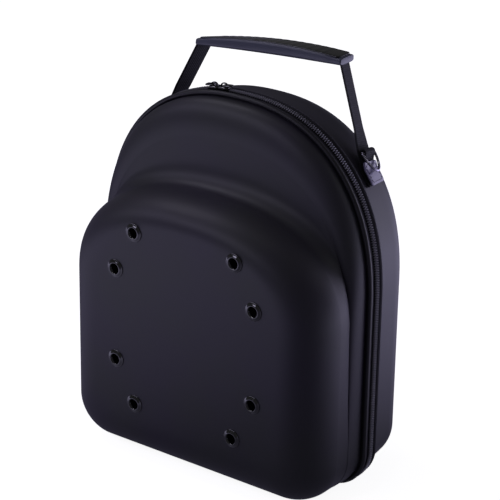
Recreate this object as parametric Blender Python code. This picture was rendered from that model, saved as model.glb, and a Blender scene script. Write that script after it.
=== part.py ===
"""Hard-shell carrier case for baseball caps.

Two moulded shells meet at a zip in the plane Y = 0. The front shell (towards -Y) has a shallow arched
upper face and a deeper lower bulge with eight vent eyelets. The back shell (towards +Y) carries the
webbing straps of the handle and a tab with a D-ring on each side. Units are metres, +Z is up, and the
origin lies on the floor under the middle of the zip plane.
"""

import math
from collections import namedtuple

import bmesh
import bpy
import numpy as np
from mathutils import Vector

MM = 0.001

# Driving dimensions of the case
CASE_HEIGHT = 330 * MM
CASE_WIDTH = 281.6 * MM
FRONT_DEPTH = 82 * MM
BACK_DEPTH = 69 * MM
WALL = 3 * MM
GAP = 0.3 * MM
ARCH_POWER = 2.3
SPRING_HEIGHT = 174.5 * MM
CORNER_RADIUS = 36 * MM
RIM_LIFT = 0.5 * MM

# Front shell: the upper face and the lower bulge
FRONT_INSET = 4.2 * MM
FRONT_DRAFT = 0.05
UPPER_EDGE_DEPTH = 27.5 * MM
UPPER_FACE_DEPTH = 30 * MM
UPPER_ROUND = 18 * MM
BULGE_TOP = 254 * MM
BULGE_SPRING = 160 * MM
BULGE_ROUND_DEPTH = 38 * MM
BULGE_ROUND_SIDE = 38 * MM
BULGE_ROUND_TOP = 19 * MM
BULGE_ROUND_FOOT = 45 * MM
FRONT_CORNER = 38 * MM
FACE_CORNER = 8 * MM

# Back shell
BACK_INSET = 5 * MM
BACK_DRAFT = 0.08
BACK_ROUND = 31 * MM
BACK_ROUND_FOOT = 24 * MM
BACK_CORNER = 30 * MM

# Rim: piping, zip tapes and coil, as depths from the zip plane and heights under the rim line
SEAM_GAP = 1 * MM
SEAT_INSET = 5 * MM
PIPING_RADIUS = 2.3 * MM
PIPING_DEPTH = 9 * MM
TAPE_THICKNESS = 2 * MM
FRONT_TAPE_DEPTH = 6.3 * MM
BACK_TAPE_DEPTH = 10.2 * MM
COIL_HALF_WIDTH = 2.9 * MM
COIL_CROWN = 0.3 * MM
HINGE_THICKNESS = 2.5 * MM
ZIP_END_ANGLE = math.radians(66)

# Vent eyelets: distance from the middle and height above or below the pattern's centre
Vent = namedtuple("Vent", "name offset_x offset_z")
VENTS = (
    Vent("top", 52.8 * MM, 80.1 * MM),
    Vent("upper", 73.2 * MM, 42.5 * MM),
    Vent("lower", 73.2 * MM, -42.5 * MM),
    Vent("bottom", 52.8 * MM, -80.1 * MM),
)
VENT_CENTRE_HEIGHT = 135.2 * MM
VENT_BORE = 3.6 * MM
VENT_BARREL = 5.4 * MM
VENT_FLANGE = 7.4 * MM
VENT_FLANGE_HEIGHT = 1.3 * MM
VENT_WASHER = 6.2 * MM

# Handle: grip and webbing straps
GRIP_LENGTH = 151 * MM
GRIP_WIDTH = 22 * MM
GRIP_END_HEIGHT = 7 * MM
GRIP_MIDDLE_HEIGHT = 11 * MM
GRIP_ARCH = 3 * MM
GRIP_HEIGHT = 357 * MM
GRIP_DEPTH = 40 * MM
GRIP_TILT = math.radians(4.8)
GRIP_LEFT_ROLL = math.radians(12)
STRAP_WIDTH = 18 * MM
STRAP_THICKNESS = 1.8 * MM
STRAP_END_X = 70.5 * MM
STRAP_ENTRY = 4 * MM
STRAP_TOE = math.radians(14)

# Side tab and D-ring, measured down the strap from the foot, where it meets the back shell's wall
FOOT_HEIGHT = 276.5 * MM
FOOT_DEPTH = 29 * MM
TAB_ABOVE = 6.5 * MM
TAB_BELOW = 14 * MM
TAB_WIDTH = 20 * MM
TAB_THICKNESS = 2.0 * MM
LOOP_WIDTH = 15 * MM
LOOP_THICKNESS = 1.5 * MM
RING_ABOVE = 14.5 * MM
RING_WIRE = 1.2 * MM
RING_WIDTH = 21 * MM
RING_DROP = 20 * MM
RING_CLEARANCE = 0.4 * MM
RING_LEAN = math.radians(19)

# Zip sliders: place along X on the crown of the zip, and the way their pulls lie
SLIDER_SPOTS = {"left": -31 * MM, "right": -20.5 * MM}
PULL_WAYS = {"left": -1, "right": 1}
SLIDER_LENGTH = 10 * MM
SLIDER_SKIRT = 1.2 * MM
SLIDER_PLATE = 1.4 * MM
BRIDGE_LENGTH = 7 * MM
BRIDGE_WIDTH = 1.8 * MM
BRIDGE_BAR = 1.1 * MM
BRIDGE_WINDOW = 1.9 * MM
PULL_LENGTH = 9 * MM
PULL_WIDTH = 6.4 * MM
PULL_THICKNESS = 1.2 * MM

# Mesh resolution
ARCH_STEPS = 26
SIDE_STEPS = 3
CORNER_STEPS = 5
FOOT_STEPS = 4
ROUND_STEPS = 5
TURN_STEPS = 12

# Sizes that follow from the ones above
HALF_WIDTH = CASE_WIDTH / 2
STACK_HEIGHT = RING_ABOVE + RING_WIRE + RING_CLEARANCE + LOOP_THICKNESS
TAB_STATIONS = (TAB_BELOW, 2 / 3 * TAB_BELOW, TAB_BELOW / 3, 0, -TAB_ABOVE / 2, -TAB_ABOVE)
SEAT_DEPTH = PIPING_DEPTH + PIPING_RADIUS + GAP
TAPE_LOW = -SEAT_INSET + GAP
TAPE_HIGH = TAPE_LOW + TAPE_THICKNESS
COIL_LOW = TAPE_HIGH + GAP
COIL_HIGH = -COIL_CROWN

Finish = namedtuple("Finish", "color roughness metallic")
FINISHES = {
    "shell": Finish((0.030, 0.029, 0.036), 0.55, 0.0),
    "trim": Finish((0.022, 0.021, 0.026), 0.75, 0.0),
    "webbing": Finish((0.020, 0.020, 0.023), 0.90, 0.0),
    "leather": Finish((0.050, 0.048, 0.060), 0.35, 0.0),
    "grip": Finish((0.040, 0.040, 0.046), 0.40, 0.0),
    "coil": Finish((0.030, 0.030, 0.034), 0.35, 0.0),
    "black_metal": Finish((0.015, 0.015, 0.017), 0.20, 0.9),
    "steel": Finish((0.300, 0.290, 0.310), 0.25, 1.0),
}


def remove_objects():
    for obj in list(bpy.data.objects):
        bpy.data.objects.remove(obj, do_unlink=True)


def material_for(finish_name, node_name):
    """Each sub-part's own Principled material, from the table of finishes."""
    finish = FINISHES[finish_name]
    material = bpy.data.materials.new(node_name)
    material.use_nodes = True
    shader = material.node_tree.nodes["Principled BSDF"]
    shader.inputs["Base Color"].default_value = (*finish.color, 1.0)
    shader.inputs["Roughness"].default_value = finish.roughness
    shader.inputs["Metallic"].default_value = finish.metallic
    return material


def add_body(name, bm, finish_name, origin=(0, 0, 0)):
    """Link a bmesh, drawn in world coordinates, as an object whose origin is at the point given."""
    bmesh.ops.translate(bm, vec=-Vector(origin), verts=bm.verts)
    bmesh.ops.recalc_face_normals(bm, faces=bm.faces)
    mesh = bpy.data.meshes.new(name)
    bm.to_mesh(mesh)
    bm.free()
    mesh.shade_smooth()
    mesh.set_sharp_from_angle(angle=math.radians(35))
    if finish_name:
        mesh.materials.append(material_for(finish_name, name))
    body = bpy.data.objects.new(name, mesh)
    body.location = origin
    bpy.context.collection.objects.link(body)
    return body


def loft(rings, closed_path=False, cap_ends=True):
    """A bmesh skin over rings of equally many points, with caps, or joined last ring to first."""
    bm = bmesh.new()
    loops = [[bm.verts.new(Vector(point)) for point in ring] for ring in rings]
    pairs = list(zip(loops[:-1], loops[1:]))
    if closed_path:
        pairs.append((loops[-1], loops[0]))
    for lower, upper in pairs:
        for k in range(len(lower)):
            after = (k + 1) % len(lower)
            bm.faces.new((lower[k], lower[after], upper[after], upper[k]))
    if cap_ends and not closed_path:
        bm.faces.new(loops[0])
        bm.faces.new(loops[-1])
    return bm


def cut(body, cutter):
    """Take a cutter out of a body with an exact Boolean, and keep the cutter as a hidden guide."""
    cutter.hide_render = True
    cutter.display_type = "WIRE"
    boolean = body.modifiers.new("cut_" + cutter.name, "BOOLEAN")
    boolean.operation = "DIFFERENCE"
    boolean.solver = "EXACT"
    boolean.object = cutter


def join(body, added):
    """Unite a second solid with a body by an exact Boolean, and keep it as a hidden guide."""
    added.hide_render = True
    added.display_type = "WIRE"
    boolean = body.modifiers.new("join_" + added.name, "BOOLEAN")
    boolean.operation = "UNION"
    boolean.solver = "EXACT"
    boolean.object = added


def outline(half_width, crown, spring, foot, corner):
    """Points (x, z) round the case: a superellipse arch, straight sides and a rounded foot."""
    angles = np.linspace(-math.pi / 2, math.pi / 2, ARCH_STEPS + 1)
    share_x = np.sign(np.sin(angles)) * np.abs(np.sin(angles)) ** (2 / ARCH_POWER)
    share_z = np.clip(np.cos(angles), 0, 1) ** (2 / ARCH_POWER)
    arch = np.stack([half_width * share_x, spring + (crown - spring) * share_z], axis=1)
    heights = np.linspace(spring, foot + corner, SIDE_STEPS + 1)[1:]
    side = np.stack([np.full(SIDE_STEPS, half_width), heights], axis=1)
    turns = np.linspace(0, math.pi / 2, CORNER_STEPS + 1)[1:]
    bend = np.stack(
        [half_width - corner + corner * np.cos(turns), foot + corner - corner * np.sin(turns)], axis=1
    )
    reach = half_width - corner
    floor = np.stack([np.linspace(reach, -reach, FOOT_STEPS + 1)[1:-1], np.full(FOOT_STEPS - 1, foot)], axis=1)
    right = np.concatenate([side, bend])
    left = right[::-1] * (-1, 1)
    return np.concatenate([arch, right, floor, left[:-1]])


def inward_normals(points):
    """Unit normals of a closed outline, pointing to its inside."""
    along = np.roll(points, -1, axis=0) - np.roll(points, 1, axis=0)
    along /= np.linalg.norm(along, axis=1, keepdims=True)
    return np.stack([along[:, 1], -along[:, 0]], axis=1)


def slice_at(points, depth):
    """An outline as 3-D points at a signed depth from the zip plane."""
    return [Vector((x, depth, z)) for x, z in points]


def seat_outline():
    """The rebated edge of both shells, on which piping and zip tapes sit."""
    return outline(
        HALF_WIDTH - SEAT_INSET,
        CASE_HEIGHT - SEAT_INSET,
        SPRING_HEIGHT,
        RIM_LIFT + SEAT_INSET,
        CORNER_RADIUS - SEAT_INSET,
    )


def upper_outline(depth, turned):
    """Front wall at a depth, rounded over towards the upper face; turned runs from 0 to 1."""
    inset = FRONT_INSET + FRONT_DRAFT * depth
    base = outline(HALF_WIDTH - inset, CASE_HEIGHT - inset, SPRING_HEIGHT, 0, FRONT_CORNER)
    gap = np.linalg.norm(base - bulge_outline(depth, 0), axis=1)
    rounding = np.minimum(UPPER_ROUND, 0.4 * gap) * turned
    return base + inward_normals(base) * rounding[:, None]


def bulge_outline(depth, turned):
    """Bulge wall at a depth, rounded over towards the front face; turned runs from 0 to 1."""
    inset = FRONT_INSET + FRONT_DRAFT * depth
    return outline(
        HALF_WIDTH - inset - BULGE_ROUND_SIDE * turned,
        BULGE_TOP - FRONT_DRAFT * depth - BULGE_ROUND_TOP * turned,
        BULGE_SPRING,
        BULGE_ROUND_FOOT * turned,
        FRONT_CORNER + (FACE_CORNER - FRONT_CORNER) * turned,
    )


def front_shell_slices():
    """Slices of the front skin: seat, wall, upper rounding, upper face, crease, bulge and face edge."""
    slices = [slice_at(seat_outline(), -SEAM_GAP), slice_at(seat_outline(), -SEAT_DEPTH)]
    wall_depth = SEAT_DEPTH + 1.5 * MM
    for step in range(ROUND_STEPS):
        angle = math.pi / 2 * step / (ROUND_STEPS - 1)
        depth = wall_depth + (UPPER_EDGE_DEPTH - wall_depth) * math.sin(angle)
        edge = upper_outline(depth, 1 - math.cos(angle))
        slices.append(slice_at(edge, -depth))
    crease = bulge_outline(UPPER_FACE_DEPTH, 0)
    Blend = namedtuple("Blend", "share rise")
    for blend in (Blend(0.45, 1.5 * MM), Blend(0.86, 2.6 * MM), Blend(0.965, 5.0 * MM), Blend(1.0, 11 * MM)):
        slices.append(slice_at(edge + (crease - edge) * blend.share, -UPPER_EDGE_DEPTH - blend.rise))
    for step in range(ROUND_STEPS + 1):
        angle = math.pi / 2 * step / ROUND_STEPS
        depth = FRONT_DEPTH - BULGE_ROUND_DEPTH * (1 - math.sin(angle))
        slices.append(slice_at(bulge_outline(depth, 1 - math.cos(angle)), -depth))
    return slices


def back_outline(depth, turned):
    """Back shell wall at a depth, rounded over towards the back face."""
    slope = BACK_INSET + BACK_DRAFT * depth
    inset = slope + BACK_ROUND * turned
    return outline(
        HALF_WIDTH - inset,
        CASE_HEIGHT - inset,
        SPRING_HEIGHT,
        RIM_LIFT + slope + BACK_ROUND_FOOT * turned,
        BACK_CORNER + (FACE_CORNER - BACK_CORNER) * turned,
    )


def back_shell_slices():
    """Slices of the back skin from its seat to the edge of the flat back."""
    slices = [slice_at(seat_outline(), SEAM_GAP), slice_at(seat_outline(), SEAT_DEPTH)]
    for depth in (SEAT_DEPTH + 2 * MM, (SEAT_DEPTH + BACK_DEPTH - BACK_ROUND) / 2):
        slices.append(slice_at(back_outline(depth, 0), depth))
    for step in range(ROUND_STEPS + 1):
        angle = math.pi / 2 * step / ROUND_STEPS
        depth = BACK_DEPTH - BACK_ROUND * (1 - math.sin(angle))
        slices.append(slice_at(back_outline(depth, 1 - math.cos(angle)), depth))
    return slices


def moulded_shell(name, slices):
    """A shell of even wall thickness: the skin over its slices, closed at the face, then solidified."""
    bm = loft(slices, cap_ends=False)
    bm.verts.ensure_lookup_table()
    count = len(slices[0])
    bm.faces.new(bm.verts[-count:])
    body = add_body(name, bm, "shell")
    solidify = body.modifiers.new("wall", "SOLIDIFY")
    solidify.thickness = WALL
    solidify.offset = -1
    solidify.use_even_offset = True
    return body


def vent_spots():
    """Name, x and z of each of the eight vents."""
    spots = []
    for vent in VENTS:
        for side, sign in (("left", -1), ("right", 1)):
            spots.append((vent.name + "_" + side, sign * vent.offset_x, VENT_CENTRE_HEIGHT + vent.offset_z))
    return spots


def turned_body(profile, centre):
    """Turn a closed profile of (radius, y) points about the Y axis through a centre."""
    rings = []
    for step in range(TURN_STEPS):
        angle = 2 * math.pi * step / TURN_STEPS
        spoke = Vector((math.cos(angle), 0, math.sin(angle)))
        rings.append([centre + spoke * radius + Vector((0, y, 0)) for radius, y in profile])
    return loft(rings, closed_path=True)


def build_front_shell():
    shell = moulded_shell("front_shell", front_shell_slices())
    drill = bmesh.new()
    for _, x, z in vent_spots():
        rings = []
        for y in (-FRONT_DEPTH - 4 * MM, -FRONT_DEPTH + WALL + 4 * MM):
            angles = [2 * math.pi * k / TURN_STEPS for k in range(TURN_STEPS)]
            radius = VENT_BARREL + GAP
            rings.append([Vector((x + radius * math.cos(a), y, z + radius * math.sin(a))) for a in angles])
        plug = loft(rings)
        holder = bpy.data.meshes.new("plug")
        plug.to_mesh(holder)
        plug.free()
        drill.from_mesh(holder)
        bpy.data.meshes.remove(holder)
    cut(shell, add_body("vent_drill", drill, None))


def build_vents():
    """Eyelets: a domed flange outside, a barrel through the wall and a rolled washer inside."""
    inside = WALL + GAP
    profile = (
        (VENT_BORE, -0.6 * VENT_FLANGE_HEIGHT),
        (VENT_BORE + 1.0 * MM, -GAP - VENT_FLANGE_HEIGHT),
        (VENT_FLANGE - 1.1 * MM, -GAP - 0.85 * VENT_FLANGE_HEIGHT),
        (VENT_FLANGE, -GAP),
        (VENT_BARREL, -GAP),
        (VENT_BARREL, inside),
        (VENT_WASHER, inside),
        (VENT_WASHER, inside + 0.8 * MM),
        (VENT_BORE, inside + 0.8 * MM),
    )
    for name, x, z in vent_spots():
        centre = Vector((x, -FRONT_DEPTH, z))
        add_body("eyelet_" + name, turned_body(profile, centre), "black_metal", centre)


def rim_path(to_zip_ends):
    """Points (x, z) and outward normals along the rim line; the zip stops short of the foot."""
    line = outline(HALF_WIDTH, CASE_HEIGHT, SPRING_HEIGHT, RIM_LIFT, CORNER_RADIUS)
    outward = -inward_normals(line)
    if not to_zip_ends:
        return list(zip(line, outward))
    lowest = RIM_LIFT + CORNER_RADIUS * (1 - math.sin(ZIP_END_ANGLE))
    kept = [k for k in range(len(line)) if line[k][1] >= lowest]
    start = max(kept)
    while start - 1 in kept:
        start -= 1
    order = [k for k in range(start, len(line)) if k in kept] + [k for k in range(0, start) if k in kept]
    return [(line[k], outward[k]) for k in order]


def rim_sweep(name, section, finish_name, to_zip_ends=False):
    """Sweep a section of (height over the rim line, depth) points along the rim."""
    rings = []
    for (x, z), (nx, nz) in rim_path(to_zip_ends):
        rings.append([Vector((x + nx * height, depth, z + nz * height)) for height, depth in section])
    return add_body(name, loft(rings, closed_path=not to_zip_ends), finish_name)


def rectangle(low, high, near, far):
    return ((low, near), (high, near), (high, far), (low, far))


def build_rim():
    """Piping on the front shell, a zip tape on each shell, the coil and the hinge strip at the foot."""
    angles = [2 * math.pi * k / 8 for k in range(8)]
    round_section = [
        (PIPING_RADIUS * (math.cos(a) - 1), PIPING_RADIUS * math.sin(a) - PIPING_DEPTH) for a in angles
    ]
    rim_sweep("front_piping", round_section, "trim")
    half_seam = SEAM_GAP / 2
    rim_sweep("zip_tape_front", rectangle(TAPE_LOW, TAPE_HIGH, -FRONT_TAPE_DEPTH, -half_seam), "webbing")
    rim_sweep("zip_tape_back", rectangle(TAPE_LOW, TAPE_HIGH, half_seam, BACK_TAPE_DEPTH), "webbing")
    coil = rectangle(COIL_LOW, COIL_HIGH, -COIL_HALF_WIDTH, COIL_HALF_WIDTH)
    rim_sweep("zip_coil", coil, "coil", to_zip_ends=True)
    reach = HALF_WIDTH - CORNER_RADIUS - 2 * MM
    corners = ((-reach, -FRONT_TAPE_DEPTH), (reach, -FRONT_TAPE_DEPTH), (reach, BACK_TAPE_DEPTH))
    corners += ((-reach, BACK_TAPE_DEPTH),)
    rings = [[Vector((x, y, z)) for x, y in corners] for z in (0, HINGE_THICKNESS)]
    add_body("foot_hinge_strip", loft(rings), "webbing")


def wall_curve(y):
    """The back shell's arched wall at a depth: points (x, z) from the crown down the +X side."""
    inset = BACK_INSET + BACK_DRAFT * y
    angles = np.linspace(0.02, math.pi / 2, 400)
    x = (HALF_WIDTH - inset) * np.sin(angles) ** (2 / ARCH_POWER)
    rise = CASE_HEIGHT - inset - SPRING_HEIGHT
    z = SPRING_HEIGHT + rise * np.cos(angles) ** (2 / ARCH_POWER)
    return x, z


def wall_frame(down, y, side):
    """Point on the wall a distance down from the strap's foot, with the directions off and down it."""
    x, z = wall_curve(y)
    travel = np.concatenate([[0], np.cumsum(np.hypot(np.diff(x), np.diff(z)))])
    here = np.interp(-FOOT_HEIGHT, -z, travel) + down
    spot = Vector((np.interp(here, travel, x), y, np.interp(here, travel, z)))
    ahead = Vector((np.interp(here + MM, travel, x), y, np.interp(here + MM, travel, z)))
    behind = Vector((np.interp(here - MM, travel, x), y, np.interp(here - MM, travel, z)))
    below = (ahead - behind).normalized()
    outward = Vector((-below.z, BACK_DRAFT, below.x)).normalized()
    for direction in (spot, below, outward):
        direction.x *= side
    return spot, outward, below


def tilted(x):
    """Height of the grip's middle line at x."""
    arch = GRIP_ARCH * (1 - (2 * x / GRIP_LENGTH) ** 2)
    return GRIP_HEIGHT + arch + math.tan(GRIP_TILT) * x


def strap_head(side):
    """Where a strap ends, inside its pocket in the grip."""
    x = side * STRAP_END_X
    return Vector((x, GRIP_DEPTH, tilted(x) - GRIP_END_HEIGHT / 2 + STRAP_ENTRY))


def strap_frame(down, side):
    """The strap's inner face at a distance down from its foot, with its directions off, down and across.

    Below the foot the strap lies on the wall. Above it, it runs straight to the grip, and turns from the
    wall's direction to its toe once it is past the D-ring.
    """
    spot, outward, wall_below = wall_frame(max(down, 0), FOOT_DEPTH, side)
    spot = spot + outward * GAP
    across = outward.cross(wall_below) * side
    if down > 0:
        return spot, outward, wall_below, across
    below = (spot - strap_head(side)).normalized()
    spot = spot + below * down
    if down == 0:
        below = (below + wall_below).normalized()
    toe = Vector((-side * math.sin(STRAP_TOE), math.cos(STRAP_TOE), 0))
    across = across.lerp(toe, min(1, max(0, -down / STACK_HEIGHT - 1)))
    across = (across - below * below.dot(across)).normalized()
    return spot, below.cross(across) * side, below, across


def strap_layer(stations, width, low, high, side):
    """Rings of a layer along the strap's route, low to high off its inner face."""
    rings = []
    for down in stations:
        spot, outward, _, across = strap_frame(down, side)
        half = across * (width / 2)
        rings.append([
            spot - half + outward * low, spot + half + outward * low,
            spot + half + outward * high, spot - half + outward * high,
        ])
    return rings


def strap_rings(side, spare):
    """Webbing from under the tab, up the wall and straight to the grip, larger all round by spare."""
    start, _, _, _ = strap_frame(0, side)
    reach = (strap_head(side) - start).length + spare
    stations = (*TAB_STATIONS, -RING_ABOVE, -STACK_HEIGHT, -1.5 * STACK_HEIGHT, -2 * STACK_HEIGHT)
    stations += (-0.8 * reach, -0.9 * reach, -reach)
    return strap_layer(stations, STRAP_WIDTH + 2 * spare, -spare, STRAP_THICKNESS + spare, side)


def grip_section(share):
    """One ring of the grip: a rounded section, rolled back towards its left end."""
    x = share * GRIP_LENGTH / 2
    height = GRIP_END_HEIGHT + (GRIP_MIDDLE_HEIGHT - GRIP_END_HEIGHT) * (1 - share ** 2)
    roll = GRIP_LEFT_ROLL * (1 - share) / 2
    ring = []
    for k in range(TURN_STEPS):
        angle = 2 * math.pi * k / TURN_STEPS
        y = GRIP_WIDTH / 2 * math.copysign(abs(math.cos(angle)) ** 0.6, math.cos(angle))
        z = height / 2 * math.copysign(abs(math.sin(angle)) ** 0.6, math.sin(angle))
        depth = GRIP_DEPTH + y * math.cos(roll) + z * math.sin(roll)
        ring.append(Vector((x, depth, tilted(x) + z * math.cos(roll) - y * math.sin(roll))))
    return ring


def build_handle():
    """The moulded grip, arched and a little tilted, with a pocket for each strap."""
    grip = add_body("handle_grip", loft([grip_section(share) for share in np.linspace(-1, 1, 13)]), "grip")
    for name, side in (("left", -1), ("right", 1)):
        add_body("strap_" + name, loft(strap_rings(side, 0)), "webbing")
        pocket = strap_rings(side, GAP)[-3:]
        cut(grip, add_body("pocket_" + name, loft(pocket), None))


def ring_axis(side):
    """Centre of the D-ring's bar, and the directions across, off and down the strap there."""
    spot, outward, below, across = strap_frame(-RING_ABOVE, side)
    height = STRAP_THICKNESS + GAP + LOOP_THICKNESS + RING_CLEARANCE + RING_WIRE
    return spot + outward * height, across, outward, below


def build_tab(name, side):
    """Leather tab over the sewn end of the strap."""
    low = STRAP_THICKNESS + LOOP_THICKNESS + 2 * GAP
    rings = strap_layer(TAB_STATIONS, TAB_WIDTH, low, low + TAB_THICKNESS, side)
    add_body("side_tab_" + name, loft(rings), "leather")


def build_loop(name, side):
    """Webbing loop round the D-ring's bar, with its tail under the tab, as an extruded outline."""
    centre, across, outward, below = ring_axis(side)
    inner = RING_WIRE + RING_CLEARANCE
    outer = inner + LOOP_THICKNESS
    sides = 16
    angles = [math.pi / 2 + 2 * math.pi * k / sides for k in range(sides)]
    bm = bmesh.new()
    for width in (-LOOP_WIDTH / 2, LOOP_WIDTH / 2):
        for radius in (inner, outer):
            for a in angles:
                bm.verts.new(centre + across * width + (below * math.sin(a) + outward * math.cos(a)) * radius)
    bm.verts.ensure_lookup_table()
    near_inner, near_outer, far_inner, far_outer = [bm.verts[k * sides:(k + 1) * sides] for k in range(4)]
    for k in range(sides):
        after = (k + 1) % sides
        bm.faces.new((near_inner[k], near_inner[after], near_outer[after], near_outer[k]))
        bm.faces.new((far_inner[k], far_outer[k], far_outer[after], far_inner[after]))
        bm.faces.new((near_outer[k], near_outer[after], far_outer[after], far_outer[k]))
        bm.faces.new((near_inner[k], far_inner[k], far_inner[after], near_inner[after]))
    loop = add_body("ring_loop_" + name, bm, "webbing")
    low = STRAP_THICKNESS + GAP
    stations = (*TAB_STATIONS[1:], RING_WIRE / 2 - RING_ABOVE)
    tail = strap_layer(stations, LOOP_WIDTH, low, low + LOOP_THICKNESS, side)
    join(loop, add_body("loop_tail_" + name, loft(tail), None))


def build_ring(name, side):
    """D-ring of round wire: a straight bar in the loop and a bow that leans off the tab."""
    centre, across, outward, below = ring_axis(side)
    fall = (below * math.cos(RING_LEAN) + outward * math.sin(RING_LEAN)).normalized()
    half = RING_WIDTH / 2 - RING_WIRE
    corner = 2.2 * MM
    route = [(half - corner, 0), (half - 0.3 * corner, 0.3 * corner), (half, corner)]
    bow = RING_DROP - 2 * RING_WIRE - corner
    for k in range(1, 6):
        angle = math.pi / 2 * k / 5
        route.append((half * math.cos(angle), corner + bow * math.sin(angle) ** 1.25))
    mirrored = [(-u, v) for u, v in route[:-1]]
    path = route + mirrored[::-1]
    rings = []
    for k, (u, v) in enumerate(path):
        before = path[k - 1]
        after = path[(k + 1) % len(path)]
        along = (across * (after[0] - before[0]) + fall * (after[1] - before[1])).normalized()
        flat = across.cross(fall).normalized()
        sideways = along.cross(flat)
        middle = centre + across * u + fall * v
        turns = [2 * math.pi * i / 6 for i in range(6)]
        rings.append([middle + (sideways * math.cos(t) + flat * math.sin(t)) * RING_WIRE for t in turns])
    add_body("d_ring_" + name, loft(rings, closed_path=True), "steel", centre)


def crown_frame(x):
    """Point on the rim line at x near the crown, with the along and upward directions."""
    share = abs(x) / HALF_WIDTH
    rise = CASE_HEIGHT - SPRING_HEIGHT
    z = SPRING_HEIGHT + rise * (1 - share ** ARCH_POWER) ** (1 / ARCH_POWER)
    step = 0.5 * MM
    share_after = abs(x + step) / HALF_WIDTH
    z_after = SPRING_HEIGHT + rise * (1 - share_after ** ARCH_POWER) ** (1 / ARCH_POWER)
    along = Vector((step, 0, z_after - z)).normalized()
    return Vector((x, 0, z)), along, Vector((-along.z, 0, along.x))


def box_rings(place, along, up, span, half_width, low, high):
    """A block in a slider's own directions, as two rings."""
    rings = []
    for s in span:
        base = place + along * s
        rings.append([base + up * n + Vector((0, y, 0)) for y, n in rectangle(-half_width, half_width, low, high)])
    return rings


def build_slider(name, x):
    """Zip slider: a channel over the coil with a bridge on top for its pull."""
    place, along, up = crown_frame(x)
    inner = COIL_HALF_WIDTH + GAP
    outer = inner + SLIDER_SKIRT
    roof = COIL_HIGH + GAP
    skirt = COIL_LOW
    channel = (
        (-outer, skirt), (-inner, skirt), (-inner, roof), (inner, roof),
        (inner, skirt), (outer, skirt), (outer, roof + SLIDER_PLATE), (-outer, roof + SLIDER_PLATE),
    )
    rings = []
    for s in (-SLIDER_LENGTH / 2, SLIDER_LENGTH / 2):
        rings.append([place + along * s + up * n + Vector((0, y, 0)) for y, n in channel])
    slider = add_body("slider_" + name, loft(rings), "black_metal")
    base = roof + SLIDER_PLATE
    crest = base + BRIDGE_WINDOW + BRIDGE_BAR
    half = BRIDGE_LENGTH / 2
    arch = (
        (-half, base - MM), (-half, crest), (half, crest), (half, base - MM),
        (half - BRIDGE_BAR, base - MM), (half - BRIDGE_BAR, base + BRIDGE_WINDOW),
        (BRIDGE_BAR - half, base + BRIDGE_WINDOW), (BRIDGE_BAR - half, base - MM),
    )
    rings = []
    for y in (-BRIDGE_WIDTH / 2, BRIDGE_WIDTH / 2):
        rings.append([place + along * s + up * n + Vector((0, y, 0)) for s, n in arch])
    join(slider, add_body("bridge_" + name, loft(rings), None))


def build_pull(name, x, way):
    """Pull: a plate with a window at its hinge end, whose bar passes under the slider's bridge."""
    place, along, up = crown_frame(x)
    height = COIL_HIGH + GAP + SLIDER_PLATE + BRIDGE_WINDOW / 2
    axis = place + up * height
    half_bar = PULL_THICKNESS / 2
    window = BRIDGE_LENGTH / 2 + GAP * 2
    half_window = BRIDGE_WIDTH / 2 + 2 * GAP
    plate = box_rings(
        axis, along * way, up, (-half_bar, PULL_LENGTH), PULL_WIDTH / 2, -half_bar, half_bar
    )
    pull = add_body("pull_" + name, loft(plate), "black_metal", axis)
    hole = box_rings(axis, along * way, up, (half_bar, window), half_window, -2 * half_bar, 2 * half_bar)
    cut(pull, add_body("pull_window_" + name, loft(hole), None))


def build_case():
    remove_objects()
    build_front_shell()
    moulded_shell("back_shell", back_shell_slices())
    build_rim()
    build_vents()
    build_handle()
    for name, side in (("left", -1), ("right", 1)):
        build_tab(name, side)
        build_loop(name, side)
        build_ring(name, side)
    for name, x in SLIDER_SPOTS.items():
        build_slider(name, x)
        build_pull(name, x, PULL_WAYS[name])


build_case()
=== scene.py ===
# %% [markdown]
# # A hard-shell carrier case for caps
#
# The real case is made of two thin foam shells, pressed in a heated mould with a smooth stretch
# fabric on the outside, and joined by a zip that runs round them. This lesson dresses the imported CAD
# model of it. Every new piece is a surface worked out with numpy, in millimetres, from the same sizes
# as the CAD model, so each one sits where the CAD says. The first cell loads that model.

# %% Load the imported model
import math
from collections import namedtuple

import bpy
import numpy as np
from mathutils import Matrix, Vector


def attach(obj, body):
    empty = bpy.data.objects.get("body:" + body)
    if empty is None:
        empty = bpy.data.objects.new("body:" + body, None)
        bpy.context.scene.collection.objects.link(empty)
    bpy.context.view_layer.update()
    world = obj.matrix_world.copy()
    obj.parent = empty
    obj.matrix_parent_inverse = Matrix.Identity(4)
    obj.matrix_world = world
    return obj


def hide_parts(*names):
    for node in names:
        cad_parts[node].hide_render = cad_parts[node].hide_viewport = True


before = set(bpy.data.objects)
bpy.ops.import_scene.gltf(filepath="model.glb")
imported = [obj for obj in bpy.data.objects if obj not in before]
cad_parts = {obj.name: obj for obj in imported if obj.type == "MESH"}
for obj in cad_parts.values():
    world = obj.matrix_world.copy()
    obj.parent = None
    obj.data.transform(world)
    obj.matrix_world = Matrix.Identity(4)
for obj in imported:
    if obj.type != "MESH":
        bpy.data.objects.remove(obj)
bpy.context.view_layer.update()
MM = 0.001


def add_object(name, data):
    """A new object in the scene, at the origin."""
    made = bpy.data.objects.new(name, data)
    bpy.context.scene.collection.objects.link(made)
    return made


# %% [markdown]
# ## The camera
#
# A product photograph is usually taken from well back with a long lens, which keeps upright edges
# parallel. The camera could be placed by eye, but here its place and turn come from fitting the zip
# line and the vent eyelets, so that the render and the photograph can be compared point by point. It
# is turned about Z first, then tipped down, then rolled.

# %% Place the camera
CAMERA_PLACE = (0.99042, -1.34716, 0.87489)
CAMERA_YAW = math.radians(36.08)
CAMERA_PITCH = math.radians(90 - 22.36)
CAMERA_ROLL = math.radians(1.025)
CAMERA_LENS = 151.03

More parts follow.
